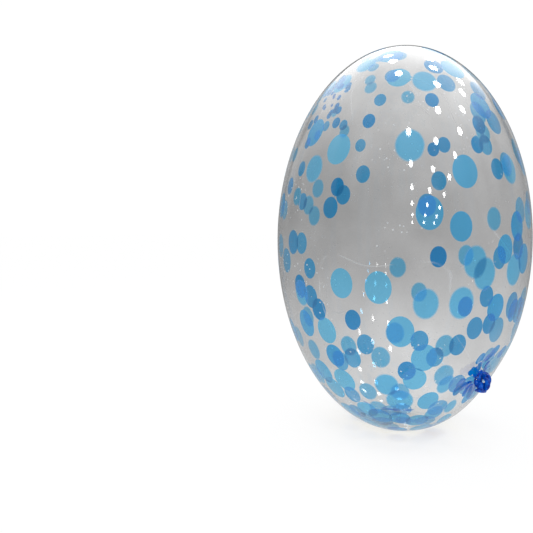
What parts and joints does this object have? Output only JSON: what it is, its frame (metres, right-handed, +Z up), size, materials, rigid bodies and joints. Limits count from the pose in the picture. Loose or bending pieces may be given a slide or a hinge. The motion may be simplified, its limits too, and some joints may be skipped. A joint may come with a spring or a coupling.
{
  "type": "clear bubble balloon",
  "caption": "Egg-shaped clear film balloon with a printed pattern of blue dots, standing upright on its underside, its neck tied in a knot low on one side.",
  "frame": {"origin": "centre of the flat foot patch, on the floor", "axes": "+Z up along the egg; the knot is low down, about halfway round from +X to -Y"},
  "size_m": [0.4498, 0.4498, 0.6945],
  "materials": {
    "film": "clear glossy film with translucent blue printed dots",
    "tied_neck": "glossy gathered film, where the blue print is drawn together and looks solid"
  },
  "bodies": {
    "root": {"balloon": "film"}
  },
  "joints": []
}
